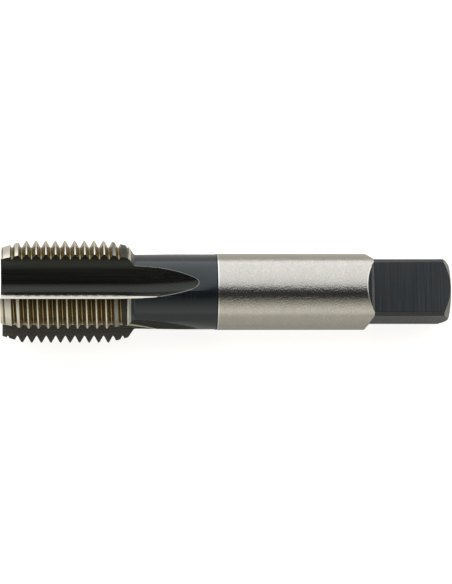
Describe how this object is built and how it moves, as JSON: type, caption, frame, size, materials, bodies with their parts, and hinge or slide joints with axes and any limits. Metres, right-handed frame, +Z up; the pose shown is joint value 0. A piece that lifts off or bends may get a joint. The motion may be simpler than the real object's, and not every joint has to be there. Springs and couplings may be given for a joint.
{
  "type": "thread tap",
  "caption": "Straight-flute hand tap for cutting an internal screw thread, with a ground shank and a square drive.",
  "frame": {"origin": "under the middle of the tap, in the plane that it lies on", "axes": "+X along the tap from the cutting tip to the square drive, +Z up, with a flute straight up and one straight down"},
  "size_m": [0.07, 0.0144, 0.0144],
  "materials": {
    "tool_steel": "ground bright on the shank, the thread and the cutting faces, black oxide in the flutes and on the neck and square"
  },
  "bodies": {
    "root": {"thread_tap": "tool_steel"}
  },
  "joints": []
}
